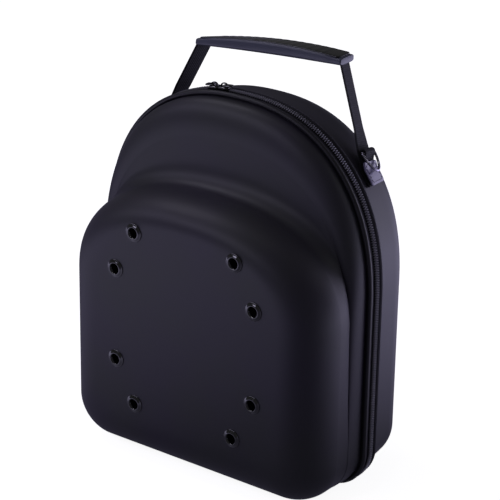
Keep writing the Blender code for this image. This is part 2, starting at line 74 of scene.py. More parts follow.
camera_data = bpy.data.cameras.new("camera")
camera_data.lens = CAMERA_LENS
camera_data.sensor_width = 36
camera_data.clip_start = 0.05
camera = add_object("camera", camera_data)
turn = Matrix.Rotation(CAMERA_YAW, 4, "Z") @ Matrix.Rotation(CAMERA_PITCH, 4, "X")
camera.matrix_world = Matrix.Translation(CAMERA_PLACE) @ turn @ Matrix.Rotation(CAMERA_ROLL, 4, "Z")
bpy.context.scene.camera = camera
print("camera is", round(Vector(CAMERA_PLACE).length, 2), "m from the case")

# %% [markdown]
# ## Shapes as grids of points
#
# Nearly everything on the case is a closed profile carried along a path: a strap, a wire, a zip tape,
# even a shell. Such a surface is a grid: row by row it follows the path, and column by column it goes
# round the profile. Its faces then come from the row and column numbers alone, and none is drawn by
# hand.

# %% Circles and boxy rounds
def circle(count, shift=0.0):
    """Angles evenly round a full turn, from a shift."""
    return np.linspace(0, 2 * math.pi, count, endpoint=False) + shift


def boxy(values, power):
    """|v|^power with the sign of v: a power below 1 makes the round of a sine and cosine boxy."""
    return np.sign(values) * np.abs(values) ** power


# %% A skin over a grid
Shape = namedtuple("Shape", "points quads quad_uv fans")


def skin(grid, close_rows=False, cap_ends=True):
    """Skin over a grid of points in mm whose rows are closed loops.

    Face (r, c) joins points (r, c), (r, c+1), (r+1, c+1) and (r+1, c), where the last column is
    followed by the first. An open end gets a fan of triangles round the mean of its loop. The UV is
    distance in metres: u is the mean distance round the loops and v the distance along their means.
    """
    rows, columns, _ = grid.shape
    r = np.arange(rows if close_rows else rows - 1)[:, None]
    c = np.arange(columns)[None, :]
    r_next, c_next = (r + 1) % rows, (c + 1) % columns
    corners = [r * columns + c, r * columns + c_next, r_next * columns + c_next, r_next * columns + c]
    quads = np.stack(np.broadcast_arrays(*corners), -1).reshape(-1, 4)
    steps = np.linalg.norm(np.roll(grid, -1, 1) - grid, axis=2).mean(0)
    around = np.concatenate([[0], np.cumsum(steps)]) * MM
    means = grid.mean(1)
    walk = np.linalg.norm(np.roll(means, -1, 0) - means, axis=1)
    along = np.concatenate([[0], np.cumsum(walk)]) * MM
    u = np.stack(np.broadcast_arrays(around[c], around[c + 1], around[c + 1], around[c] + 0 * r), -1)
    v = np.stack(np.broadcast_arrays(along[r] + 0 * c, along[r], along[r + 1], along[r + 1]), -1)
    quad_uv = np.stack([u, v], -1).reshape(-1, 4, 2)
    points = grid.reshape(-1, 3)
    fans = np.zeros((0, 3), int)
    if cap_ends and not close_rows:
        first, last = np.arange(columns), (rows - 1) * columns + np.arange(columns)
        hub = np.full(columns, rows * columns)
        fans = np.concatenate([
            np.stack([hub, np.roll(first, -1), first], -1),
            np.stack([hub + 1, last, np.roll(last, -1)], -1),
        ])
        points = np.concatenate([points, grid[[0, -1]].mean(1)])
    return Shape(points, quads, quad_uv, fans)


# %% Copies of a small shape
def repeated(shape, origins, across, upward, onward):
    """One shape copied to many places: a point is origin + x * across + y * upward + z * onward."""
    axes = np.stack([across, upward, onward], 1)
    points = origins[:, None] + np.einsum("mj,kjd->kmd", shape.points, axes)
    copies, size = points.shape[:2]
    shift = np.arange(copies)[:, None, None] * size
    return Shape(
        points.reshape(-1, 3),
        (shape.quads[None] + shift).reshape(-1, 4),
        np.tile(shape.quad_uv, (copies, 1, 1)),
        (shape.fans[None] + shift).reshape(-1, 3),
    )


def together(shapes):
    """Several shapes as one, with the point numbers of each moved past those before it."""
    starts = np.cumsum([0] + [len(s.points) for s in shapes[:-1]])
    return Shape(
        np.concatenate([s.points for s in shapes]),
        np.concatenate([s.quads + n for s, n in zip(shapes, starts)]),
        np.concatenate([s.quad_uv for s in shapes]),
        np.concatenate([s.fans + n for s, n in zip(shapes, starts)]),
    )


# %% Make a piece from a shape
SHARP_ANGLE = 40


def outward_shape(shape):
    """The shape with its faces turned outwards: the sum of a . (b x c) over its triangles is positive."""
    q, p = shape.quads, shape.points
    triangles = np.concatenate([q[:, :3], q[:, [0, 2, 3]], shape.fans])
    a, b, c = p[triangles[:, 0]], p[triangles[:, 1]], p[triangles[:, 2]]
    if np.einsum("ij,ij->", a - p.mean(0), np.cross(b - p.mean(0), c - p.mean(0))) > 0:
        return shape
    return Shape(p, q[:, ::-1], shape.quad_uv[:, ::-1], shape.fans[:, ::-1])


def mesh_of(name, shape):
    """A mesh in metres from a shape in mm."""
    mesh = bpy.data.meshes.new(name)
    mesh.from_pydata((shape.points * MM).tolist(), [], shape.quads.tolist() + shape.fans.tolist())
    return mesh


def add_piece(name, shape, material, slot, body="case", stands_for=(), sharp=SHARP_ANGLE):
    """A mesh object in metres from a shape in mm, riding on a body and standing for CAD nodes."""
    shape = outward_shape(shape)
    mesh = mesh_of(name, shape)
    uv = np.concatenate([shape.quad_uv.reshape(-1, 2), np.zeros((len(shape.fans) * 3, 2))])
    mesh.uv_layers.new(name="surface").data.foreach_set("uv", uv.ravel())
    mesh.shade_smooth()
    mesh.set_sharp_from_angle(angle=math.radians(sharp))
    mesh.materials.append(material)
    piece = add_object(name, mesh)
    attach(piece, body)
    if stands_for:
        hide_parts(*stands_for)
    print(f"{name}: {len(shape.quads) * 2 + len(shape.fans)} triangles")
    return piece


# %% [markdown]
# ## Materials from nodes
#
# Each finish starts from what the real one is and how its surface was made. Two small helpers keep
# the node code short: one turns an sRGB hex colour to the linear values that the shader wants, and
# one adds a node with its settings and links. The rest are built on them: two patterns whose scale
# comes from a size in mm, a mix of two colours and a bump.

# %% Colour and node helpers
def linear(code):
    """An sRGB hex colour as linear RGBA: below 0.04045 divided by 12.92, above it a power of 2.4."""
    srgb = np.array([int(code[k:k + 2], 16) for k in (1, 3, 5)]) / 255
    curve = np.where(srgb <= 0.04045, srgb / 12.92, ((srgb + 0.055) / 1.055) ** 2.4)
    return (*curve.tolist(), 1.0)


def add_node(tree, kind, settings=None, values=None, links=None):
    """Adds a node, sets its properties and unlinked inputs, and links sockets to its inputs."""
    node = tree.nodes.new(kind)
    for key, value in (settings or {}).items():
        setattr(node, key, value)
    for key, value in (values or {}).items():
        node.inputs[key].default_value = value
    for key, socket in (links or {}).items():
        tree.links.new(socket, node.inputs[key])
    return node


def calc(tree, operation, *operands):
    """A Math node on sockets and numbers, in their order."""
    places = dict(enumerate(operands))
    numbers = {k: v for k, v in places.items() if isinstance(v, (int, float))}
    sockets = {k: v for k, v in places.items() if k not in numbers}
    return add_node(tree, "ShaderNodeMath", {"operation": operation}, numbers, sockets).outputs[0]


def start_material(name, **constants):
    """A new material with its Principled shader's constant inputs set."""
    material = bpy.data.materials.new(name)
    material.use_nodes = True
    shader = material.node_tree.nodes["Principled BSDF"]
    for key, value in constants.items():
        shader.inputs[key.replace("_", " ")].default_value = value
    return material, material.node_tree, shader


# %% Patterns, colour and bump
def noise(tree, place, feature_mm, detail):
    """Noise whose features are about that many mm wide: its scale is one unit cell per feature."""
    return add_node(
        tree, "ShaderNodeTexNoise", values={"Scale": 1 / (feature_mm * MM), "Detail": detail}, links={"Vector": place}
    ).outputs["Fac"]


def wave(tree, place, axis, pitch_mm, distortion=0.0):
    """A band every pitch along an axis: the texture turns 20 radians per unit of its scale."""
    return add_node(
        tree, "ShaderNodeTexWave", {"bands_direction": axis},
        {"Scale": 2 * math.pi / (20 * pitch_mm * MM), "Distortion": distortion}, {"Vector": place},
    ).outputs["Fac"]


def two_colors(tree, shader, share, first, second):
    """The shader's colour goes from the first sRGB colour to the second with the share."""
    mix = add_node(tree, "ShaderNodeMix", {"data_type": "RGBA"}, {6: linear(first), 7: linear(second)}, {0: share})
    tree.links.new(mix.outputs[2], shader.inputs["Base Color"])


def raise_surface(tree, shader, height, strength, height_mm):
    """A bump of that many mm on the shader's normal."""
    bump = add_node(
        tree, "ShaderNodeBump", values={"Strength": strength, "Distance": height_mm * MM}, links={"Height": height}
    )
    tree.links.new(bump.outputs["Normal"], shader.inputs["Normal"])


# %% [markdown]
# The shells are covered in stretch fabric, a fine polyester knit, laminated to foam and pressed hot.
# The press leaves it smooth, with a soft satin gleam where light grazes it. The yarn is too fine to
# show, so its grain is drawn about a pixel wide. A slow noise shifts the dye a little between a violet
# and a neutral black, as the photograph shows.

# %% Stretch fabric for the shells
FABRIC_GRAIN, DYE_PATCH = 0.9, 90


def knit_fabric(name, violet, neutral, roughness, grain_height):
    """Hot-pressed polyester knit: two blacks mixed by a slow noise, under a fine grain."""
    material, tree, shader = start_material(
        name, Roughness=roughness, Specular_IOR_Level=0.5, Sheen_Weight=0.12, Sheen_Roughness=0.4,
        Sheen_Tint=linear("#b9b2cf"),
    )
    place = add_node(tree, "ShaderNodeTexCoord").outputs["Object"]
    spread = add_node(
        tree, "ShaderNodeMapRange", values={"From Min": 0.38, "From Max": 0.62},
        links={"Value": noise(tree, place, DYE_PATCH, 2.0)},
    )
    two_colors(tree, shader, spread.outputs["Result"], violet, neutral)
    raise_surface(tree, shader, noise(tree, place, FABRIC_GRAIN, 3.0), 0.35, grain_height)
    return material


shell_fabric = knit_fabric("pressed_polyester_knit", "#2a2634", "#2a2a2e", 0.48, 0.10)
piping_fabric = knit_fabric("polyester_knit_over_cord", "#19161f", "#19191c", 0.46, 0.12)
print("shell fabric grain, mm:", FABRIC_GRAIN)

# %% [markdown]
# Straps and tapes are woven. Polypropylene webbing has plump ribs and a tight weave, so it is darker
# and more matt than the shell. A wave along the strap makes the ribs, and one across it cuts them into
# yarns. The piece's own UV is in metres along and across it, so the weave follows every bend.

# %% Woven webbing and zip tape
def woven(name, dark, light, rib_mm, yarn_mm, height_mm, roughness):
    """Plain weave: yarns where a wave along the piece meets a wave across it."""
    material, tree, shader = start_material(
        name, Roughness=roughness, Specular_IOR_Level=0.3, Sheen_Weight=0.25, Sheen_Roughness=0.5,
        Sheen_Tint=linear("#9c98a8"),
    )
    place = add_node(tree, "ShaderNodeTexCoord").outputs["UV"]
    weave = calc(tree, "MULTIPLY_ADD", wave(tree, place, "Y", rib_mm, 0.4), 0.6, 0.3)
    cloth = calc(tree, "MULTIPLY", weave, wave(tree, place, "X", yarn_mm, 0.4))
    two_colors(tree, shader, cloth, dark, light)
    raise_surface(tree, shader, cloth, 0.8, height_mm)
    return material


webbing = woven("polypropylene_webbing", "#08080a", "#2e2e34", 1.7, 2.2, 0.35, 0.72)
zip_tape = woven("woven_polyester_tape", "#100f14", "#2c2a35", 1.1, 1.1, 0.15, 0.68)
print("woven:", webbing.name, zip_tape.name)

# %% [markdown]
# The small parts are harder and shinier. The zip's coil is black nylon monofilament; its light grey
# colour is a painted highlight that stands in for the glints on its bars. Sliders, pulls and eyelets
# are brass or steel under glossy black lacquer, which is a clear smooth film with a faint orange peel.
# The D-rings are polished steel wire with a slight haze. The tabs are imitation leather with a fine
# pebble, and the grip is moulded rubbery plastic.

# %% Hard and glossy finishes
def speckled(name, color, feature_mm, height_mm, **constants):
    """One colour under a noise bump of the given feature size, for cast, lacquered or moulded parts."""
    material, tree, shader = start_material(name, Base_Color=linear(color), **constants)
    place = add_node(tree, "ShaderNodeTexCoord").outputs["Object"]
    speck = noise(tree, place, feature_mm, 2.0)
    blur = constants["Roughness"]
    wear = add_node(
        tree, "ShaderNodeMapRange", values={"To Min": blur * 0.8, "To Max": blur * 1.25}, links={"Value": speck}
    )
    tree.links.new(wear.outputs["Result"], shader.inputs["Roughness"])
    raise_surface(tree, shader, speck, 0.5, height_mm)
    return material


black_lacquer = speckled(
    "black_lacquer_on_metal", "#060608", 1.5, 0.006,
    Roughness=0.10, Specular_IOR_Level=0.9, Coat_Weight=1.0, Coat_Roughness=0.04,
)
# The coil's light grey is a painted highlight for the glints on the black nylon bars.
coil_nylon_painted_glints = speckled("nylon_monofilament_painted_glints", "#7b7984", 1.0, 0.02, Roughness=0.30)
steel_wire = speckled("polished_steel_wire", "#aaa6b6", 0.8, 0.01, Roughness=0.22, Metallic=1.0)
# The tab's pale lilac is partly painted sheen: its colour is lightened to stand in for the sheen on its face.
tab_leather = speckled(
    "imitation_leather_painted_sheen", "#7a7494", 0.7, 0.08, Roughness=0.30, Coat_Weight=0.5, Coat_Roughness=0.2
)
# The grip body's light slate is partly painted light: it is raised above the plastic's darker grey to stand in for
# the light on its front facet.
grip_body_painted_light = speckled("moulded_grip_plastic_painted_light", "#4c4e5e", 0.6, 0.05, Roughness=0.34)
grip_gloss = speckled(
    "polished_grip_pad", "#0c0c0f", 2.0, 0.02, Roughness=0.24, Coat_Weight=0.4, Coat_Roughness=0.15
)
thread = speckled("polyester_thread", "#4a4853", 0.4, 0.05, Roughness=0.55)
cord_core = speckled("dark_filler_cord", "#08080a", 0.5, 0.05, Roughness=0.8)
# A paler grey thread than the rest, used for the loop's seam below the ring.
light_thread = speckled("paler_polyester_thread", "#5b5763", 0.4, 0.05, Roughness=0.5)
print("materials so far:", len(bpy.data.materials))

# %% [markdown]
# ## The outline of the case
#
# Seen from the front, the case is an arch on straight sides with a rounded foot. The arch is a
# superellipse: like an ellipse, but with a power a little over 2, which gives it fuller shoulders.
# Every slice of both shells has this kind of outline, with the same number of points, so slices can
# be mixed point by point. These are the sizes of the CAD model.

# %% Sizes of the case, in mm
CASE_HEIGHT, HALF_WIDTH = 330.0, 140.8
FRONT_DEPTH, BACK_DEPTH, WALL, GAP = 82.0, 69.0, 3.0, 0.3
ARCH_POWER, SPRING, CORNER, RIM_LIFT = 2.3, 174.5, 36.0, 0.5
SEAM_GAP, SEAT_INSET, SEAT_DEPTH = 1.0, 5.0, 11.6
SIDES = (("left", -1), ("right", 1))


# %% An outline
def outline(half_width, crown, spring, foot, corner):
    """Closed outline (x, z): a superellipse arch, straight sides, quarter-circle corners, a flat foot.

    On the arch x = w sign(sin a) |sin a|^(2/p) and z = spring + (crown - spring) cos(a)^(2/p).
    """
    a = np.linspace(-math.pi / 2, math.pi / 2, 161)
    x = half_width * boxy(np.sin(a), 2 / ARCH_POWER)
    z = spring + (crown - spring) * np.clip(np.cos(a), 0, 1) ** (2 / ARCH_POWER)
    heights = np.linspace(spring, foot + corner, 21)[1:]
    turns = np.linspace(0, math.pi / 2, 19)[1:]
    right = np.concatenate([
        np.stack([np.full(20, half_width), heights], 1),
        np.stack([half_width - corner + corner * np.cos(turns), foot + corner - corner * np.sin(turns)], 1),
    ])
    floor = np.stack([np.linspace(half_width - corner, corner - half_width, 22)[1:-1], np.full(20, foot)], 1)
    return np.concatenate([np.stack([x, z], 1), right, floor, (right[::-1] * (-1, 1))[:-1]])


def inward(points):
    """Unit normals of a closed outline towards its inside: the direction along it, turned by 90 degrees."""
    along = np.roll(points, -1, 0) - np.roll(points, 1, 0)
    along /= np.linalg.norm(along, axis=1, keepdims=True)
    return np.stack([along[:, 1], -along[:, 0]], 1)


def travelled(points):
    """Distance along a line of points, from 0 at the first."""
    return np.concatenate([[0], np.cumsum(np.linalg.norm(np.diff(points, axis=0), axis=1))])


def slice_at(points, y):
    """An outline as 3-D points in the plane at y."""
    return np.stack([points[:, 0], np.full(len(points), y), points[:, 1]], 1)


seat = outline(HALF_WIDTH - SEAT_INSET, CASE_HEIGHT - SEAT_INSET, SPRING, RIM_LIFT + SEAT_INSET, CORNER - SEAT_INSET)
print("points round each slice:", len(seat))

# %% [markdown]
# ## The front shell
#
# The front shell has a shallow arched face above and a deep bulge for the caps below. The mould
# leaves soft edges: the wall turns over to the upper face, the face meets the bulge in a hollow
# crease, and the bulge's shoulder rounds over to its flat front. All of that is one skin over slices
# that go from the zip to the front. Subdivision of a few loops could do it too, but formulas keep to
# the CAD sizes.

# %% Slices of the front shell
UPPER_EDGE, UPPER_ROUND, FRONT_ROUND = 27.5, 30.0, 38.0
FACE_CORNER, FRONT_CORNER = 8.0, 38.0
EDGE_INSET, DRAFT = 4.2, 0.05
BULGE_CROWN, BULGE_SPRING, CROWN_ROUND, FOOT_ROUND = 254.0, 160.0, 27.0, 45.0
FACE_RISE, CREASE_POWER, EDGE_POWER = 2.0, 2.4, 2.5


def bulge(depth, turned):
    """The bulge at a depth; as turned goes from 0 to 1 it draws in by its edge rounding."""
    inset = EDGE_INSET + DRAFT * depth
    return outline(
        HALF_WIDTH - inset - FRONT_ROUND * turned, BULGE_CROWN - DRAFT * depth - CROWN_ROUND * turned,
        BULGE_SPRING, FOOT_ROUND * turned, FRONT_CORNER + (FACE_CORNER - FRONT_CORNER) * turned,
    )


def upper_wall(depth, turned):
    """The front wall at a depth, drawn in by up to 30 mm, less where the bulge is near."""
    inset = EDGE_INSET + DRAFT * depth
    base = outline(HALF_WIDTH - inset, CASE_HEIGHT - inset, SPRING, 0.0, FRONT_CORNER)
    gap = np.linalg.norm(base - bulge(depth, 0), axis=1)
    return base + inward(base) * (np.minimum(UPPER_ROUND, 0.42 * gap) * turned)[:, None]


def soft_turn(count, power):
    """Shares (drawn in, deeper) round a soft edge: 1 - cos(a)^(2/power) and sin(a).

    With a power of 2 this is a quarter ellipse, whose edge shows against a flat face. Above 2 its
    bend fades to nothing on the flat side, as in a pressed sheet.
    """
    a = np.linspace(0, math.pi / 2, count)
    return zip(1 - np.clip(np.cos(a), 0, 1) ** (2 / power), np.sin(a))


# %% The upper face and the crease
def face_slices():
    """Rows from the upper edge to the crease, whose hollow takes up half of the way.

    The rise is 2 mm times the share of the way, plus a hollow of 14.5 (1 - cos b) where the share
    is past a half: there the share is (1 + sin(b)^(2/2.4)) / 2.
    """
    edge, crease = upper_wall(UPPER_EDGE, 1), bulge(FRONT_DEPTH - FRONT_ROUND, 0)
    b = np.concatenate([np.zeros(20), np.linspace(0, math.pi / 2, 40)[1:]])
    share = np.concatenate([np.linspace(0, 0.5, 21)[1:], 0.5 + 0.5 * np.sin(b[20:]) ** (2 / CREASE_POWER)])
    hollow = FRONT_DEPTH - FRONT_ROUND - UPPER_EDGE - FACE_RISE
    rise = FACE_RISE * share + hollow * (1 - np.cos(b))
    return [slice_at(edge + (crease - edge) * s, -UPPER_EDGE - d) for s, d in zip(share, rise)]


def closed_in(rows, middle):
    """The rows, with five more that draw the last one in towards a middle point."""
    middle = np.array(middle)
    return np.array(rows + [middle + (rows[-1] - middle) * s for s in (0.9, 0.7, 0.5, 0.3, 0.1)])


def front_slices():
    """All rows from the seat under the zip to the edge of the flat front, then in towards its middle."""
    rows = [slice_at(seat, -SEAM_GAP), slice_at(seat, -SEAT_DEPTH)]
    start = SEAT_DEPTH + 1.5
    for turned, deeper in soft_turn(41, EDGE_POWER):
        depth = start + (UPPER_EDGE - start) * deeper
        rows.append(slice_at(upper_wall(depth, turned), -depth))
    rows += face_slices()
    for turned, deeper in list(soft_turn(45, EDGE_POWER))[1:]:
        depth = FRONT_DEPTH - FRONT_ROUND * (1 - deeper)
        rows.append(slice_at(bulge(depth, turned), -depth))
    return closed_in(rows, (0, -FRONT_DEPTH, 135.0))


front_grid = front_slices()
print("front shell grid:", front_grid.shape[:2])


# %% [markdown]
# A shell is hollow and 3 mm thick. The Solidify modifier gives the skin its inner side, and a Boolean
# with a set of round plugs cuts the vents. Both are worked out once and kept as a plain mesh, so that
# the piece is finished before it is dressed.

# %% Vent places and their plugs
VENT_HEIGHT, VENT_RADIUS = 135.2, 5.7
VENT_ROWS = {"top": (52.8, 80.1), "upper": (73.2, 42.5), "lower": (73.2, -42.5), "bottom": (52.8, -80.1)}
VENTS = {
    f"{row}_{name}": (side * x, VENT_HEIGHT + rise)
    for row, (x, rise) in VENT_ROWS.items() for name, side in SIDES
}


def vent_plugs(radius, near, far):
    """Eight rods along Y through the vents: circles at y near and y far."""
    a = circle(48)
    ring = np.stack([radius * np.cos(a), 0 * a, radius * np.sin(a)], 1)
    rod = skin(np.array([ring + (0, near, 0), ring + (0, far, 0)]))
    spots = np.array([(x, 0, z) for x, z in VENTS.values()])
    eye = np.tile(np.eye(3), (len(spots), 1, 1))
    return repeated(rod, spots, eye[:, 0], eye[:, 1], eye[:, 2])


# %% Harden a skin into a shell
def open_skin(grid):
    """The skin over a grid of slices, open at the first and closed by a fan at the last."""
    full = skin(grid)
    return full._replace(fans=full.fans[len(full.fans) // 2:])


def harden(piece, plugs=None):
    """Gives a skin its 3 mm wall inwards, cuts plugs out of it and keeps the result as its mesh."""
    wall = piece.modifiers.new("wall", "SOLIDIFY")
    wall.thickness, wall.offset = WALL * MM, -1
    if plugs is not None:
        tool = add_object("plugs", mesh_of("plugs", outward_shape(plugs)))
        cut = piece.modifiers.new("cut", "BOOLEAN")
        cut.operation, cut.solver, cut.object = "DIFFERENCE", "EXACT", tool
    graph = bpy.context.evaluated_depsgraph_get()
    finished = bpy.data.meshes.new_from_object(piece.evaluated_get(graph))
    piece.modifiers.clear()
    piece.data = finished
    if plugs is not None:
        bpy.data.objects.remove(tool)
    finished.set_sharp_from_angle(angle=math.radians(SHARP_ANGLE))
    print(piece.name, "has", len(finished.vertices), "points")


front_shell = add_piece(
    "front_shell_moulded", open_skin(front_grid), shell_fabric, "shell_fabric", stands_for=["front_shell"]
)
harden(front_shell, vent_plugs(VENT_RADIUS, -FRONT_DEPTH - 4, -FRONT_DEPTH + 9))

# %% [markdown]
# ## The back shell
#
# The back shell is plainer: the same outline with slightly sloping walls, a wide rounding, and a flat
# back. Its slices run from the zip to the back.

# %% Slices of the back shell
BACK_DRAFT, BACK_ROUND, BACK_FOOT_ROUND, BACK_CORNER = 0.08, 31.0, 24.0, 30.0


def back_wall(depth, turned):
    """The back shell at a depth; as turned goes from 0 to 1 it draws in by its edge rounding."""
    slope = SEAT_INSET + BACK_DRAFT * depth
    inset = slope + BACK_ROUND * turned
    return outline(
        HALF_WIDTH - inset, CASE_HEIGHT - inset, SPRING, RIM_LIFT + slope + BACK_FOOT_ROUND * turned,
        BACK_CORNER + (FACE_CORNER - BACK_CORNER) * turned,
    )


back_rows = [slice_at(seat, SEAM_GAP), slice_at(seat, SEAT_DEPTH)]
back_rows += [slice_at(back_wall(d, 0), d) for d in np.linspace(SEAT_DEPTH + 2, BACK_DEPTH - BACK_ROUND, 12)[:-1]]
for angle in np.linspace(0, math.pi / 2, 37):
    y = BACK_DEPTH - BACK_ROUND * (1 - math.sin(angle))
    back_rows.append(slice_at(back_wall(y, 1 - math.cos(angle)), y))
back_grid = closed_in(back_rows, (0, BACK_DEPTH, 160.0))
back_shell = add_piece(
    "back_shell_moulded", open_skin(back_grid), shell_fabric, "shell_fabric", stands_for=["back_shell"]
)
harden(back_shell)

# %% [markdown]
# ## Round the rim: piping, tapes and zip
#
# A covered cord stands on the front shell's edge. Behind it lie two woven tapes, and the zip's coil
# runs between them. All four follow the same line, so each is a small section swept along it. A
# section gives the height over the rim line and the depth from the zip plane.

# %% Sweep a section round the rim
rim = outline(HALF_WIDTH, CASE_HEIGHT, SPRING, RIM_LIFT, CORNER)
rim_out = -inward(rim)


def rim_grid(section):
    """A section of (height, depth) at every point of the rim: rim point + outward normal * height."""
    section = np.asarray(section, float)
    x = rim[:, :1] + rim_out[:, :1] * section[:, 0]
    z = rim[:, 1:] + rim_out[:, 1:] * section[:, 0]
    return np.stack([x, np.broadcast_to(section[:, 1], x.shape), z], -1)


def add_band(name, section, material, slot, **options):
    """A piece made of one section swept all the way round the rim."""
    add_piece(name, skin(rim_grid(section), close_rows=True), material, slot, **options)


def oval(height, depth, half_height, half_depth, count=20, power=1.0):
    """A rounded section: half sizes times signed powers of sine and cosine about its middle."""
    a = circle(count)
    return np.stack([
        height + half_height * boxy(np.sin(a), power), depth + half_depth * boxy(np.cos(a), power)
    ], 1)


piping_section = oval(-2.4, -8.7, 2.2, 2.1)
add_band("front_piping_cord", piping_section, piping_fabric, "piping", stands_for=["front_piping"])

# %% [markdown]
# Each tape is flat beside the coil. The back one ends in a folded welt that is stitched down on the
# back shell, which shows as a narrow band with a line of thread. Its section is drawn as a list of
# corners, and the eased curve rounds them.

# %% The tapes
def eased(knots, values, at):
    """A smooth curve through values: cubic pieces whose end slopes are the mean slope at each knot."""
    knots, values = np.asarray(knots, float), np.asarray(values, float)
    slopes = np.gradient(values, knots)
    k = np.clip(np.searchsorted(knots, at, "right") - 1, 0, len(knots) - 2)
    width = knots[k + 1] - knots[k]
    t = (at - knots[k]) / width
    return (
        values[k] * (1 + 2 * t) * (1 - t) ** 2 + values[k + 1] * t * t * (3 - 2 * t)
        + width * (slopes[k] * t * (1 - t) ** 2 - slopes[k + 1] * t * t * (1 - t))
    )


def soft_section(corners, count):
    """A closed section through (height, depth) corners, eased by distance round them."""
    corners = np.asarray(corners, float)
    ring = np.concatenate([corners, corners[:1]])
    travel = travelled(ring)
    at = np.linspace(0, travel[-1], count, endpoint=False)
    return np.stack([eased(travel, ring[:, k], at) for k in (0, 1)], 1)


front_tape = [(-4.6, -0.5), (-2.7, -0.5), (-2.6, -3.0), (-2.5, -5.8), (-4.6, -5.8)]
back_tape = [
    (-4.6, 0.5), (-2.7, 0.5), (-2.7, 3.4), (-2.5, 5.6), (-1.6, 6.6),
    (-1.3, 8.0), (-1.7, 9.4), (-3.2, 10.3), (-4.6, 10.2),
]
for half, corners, count in (("front", front_tape, 24), ("back", back_tape, 40)):
    name = "zip_tape_" + half
    add_band(name + "_woven", soft_section(corners, count), zip_tape, "zip_tape", stands_for=[name])

# %% [markdown]
# A nylon coil zip is two spirals of thick monofilament that hook into each other. From outside one
# sees short rounded bars, one from each side in turn, about 1 mm apart. Each bar here is a capsule of
# a few dozen faces, and one array operation copies it along the rim.

# %% Places along the rim
ZIP_END = math.radians(66)


def along_rim(pitch, lowest, offset=0.0):
    """Points every pitch mm along the rim above a height: point, outward normal and direction, 3-D."""
    line = np.roll(np.hstack([rim, rim_out]), -np.argmin(rim[:, 1]), 0)
    travel = travelled(line[:, :2])
    at = np.arange(offset, travel[-1], pitch)
    spots = np.stack([np.interp(at, travel, column) for column in line.T], 1)
    x, z, out_x, out_z = spots[spots[:, 1] > lowest].T
    size = np.hypot(out_x, out_z)
    pairs = ((x, z), (out_x / size, out_z / size), (out_z / size, -out_x / size))
    return [np.stack([a, 0 * a, b], 1) for a, b in pairs]


def capsule(length, half_width, half_height, rings, sides):
    """A bar along its third axis: its section shrinks to the ends as a root of 1 - t^4."""
    t = np.linspace(-1, 1, rings)
    t = boxy(t, 0.6) * 0.985
    size = (1 - t ** 4) ** 0.5
    a = circle(sides)
    x = half_width * size[:, None] * np.cos(a)
    y = half_height * size[:, None] * np.sin(a)
    return skin(np.stack([x, y, np.broadcast_to(t[:, None] * length / 2, x.shape)], -1))


# %% The coil
TOOTH_PITCH = 2.2
zip_foot = RIM_LIFT + CORNER * (1 - math.sin(ZIP_END))
tooth = capsule(3.4, 0.5, 0.95, rings=6, sides=8)
rows = []
for side, offset in ((-1, 0.0), (1, TOOTH_PITCH / 2)):
    spots, out3, ahead = along_rim(TOOTH_PITCH, zip_foot, offset)
    depthwise = np.tile((0.0, 1.0, 0.0), (len(spots), 1))
    origins = spots - out3 * 1.25 + depthwise * side * 1.25
    slant = depthwise * side + ahead * 0.16
    slant /= np.linalg.norm(slant, axis=1, keepdims=True)
    rows.append(repeated(tooth, origins, np.cross(out3, slant), out3, slant))
print("teeth:", len(rows[0].points) // len(tooth.points) * 2)
add_piece("zip_coil_teeth", together(rows), coil_nylon_painted_glints, "zip_coil", stands_for=["zip_coil"], sharp=60)
add_band("zip_coil_core", oval(-2.6, 0.0, 0.8, 2.2, 12, 0.6), cord_core, "zip_tape")

# %% [markdown]
# A line of lockstitch holds the back tape's welt. A stitch is a short length of thread that dips
# under the cloth at both ends, so a row of small capsules along the path reads as sewing.

# %% Stitches along the welt
STITCH = capsule(2.2, 0.28, 0.28, rings=5, sides=6)
spots, out3, ahead = along_rim(2.9, zip_foot)
welt = spots - out3 * 1.35 + np.array([0, 7.9, 0])
welt_seam = repeated(STITCH, welt, np.cross(out3, ahead), out3, ahead)
add_piece("zip_tape_stitches", welt_seam, thread, "zip_tape", sharp=60)

# %% [markdown]
# ## Vent eyelets
#
# An eyelet is a pressed ring: a flange that slopes up to a lip, a funnel into the bore, and a barrel
# through the wall that is rolled over a washer inside. It is a turned shape, so one profile of radius
# and depth is carried round a circle. The lacquered slope and lip are what catch the light.

# %% Turn an eyelet
def turned(profile, centre, count=56):
    """A closed (radius, y) profile carried round the Y axis through a centre."""
    profile = np.asarray(profile, float)
    a = circle(count)[:, None]
    ring = np.stack([profile[:, 0] * np.cos(a), profile[:, 1] + 0 * a, profile[:, 0] * np.sin(a)], -1)
    return skin(ring + np.asarray(centre), close_rows=True)


flange = [
    (8.2, -0.3), (8.25, -0.5), (8.1, -0.68), (7.8, -0.78),
    (7.4, -0.95), (6.8, -1.3), (6.2, -1.65), (5.7, -1.92),
]
funnel = [
    (5.4, -2.02), (5.1, -1.98), (4.9, -1.8), (4.6, -1.3), (4.3, -0.75),
    (4.0, -0.1), (3.8, 0.7), (3.7, 2.0), (3.7, 4.1),
]
barrel = [(6.2, 4.1), (6.2, 3.3), (5.4, 3.3), (5.4, -0.3)]
eyelet_profile = flange + funnel + barrel
for vent, (x, z) in VENTS.items():
    eyelet = turned(eyelet_profile, (x, -FRONT_DEPTH, z))
    add_piece("eyelet_ring_" + vent, eyelet, black_lacquer, "black_metal", stands_for=["eyelet_" + vent])

# %% [markdown]
# ## The straps' route
#
# Each strap starts under the side tab, lies on the back shell's wall, leaves it at the foot, and runs
# straight up into the grip, turning a little on the way. Straps, loops, tabs and rings all refer to
# this route, so it is one function: a distance down from the foot gives a point, and three directions
# off, down and across the strap there.

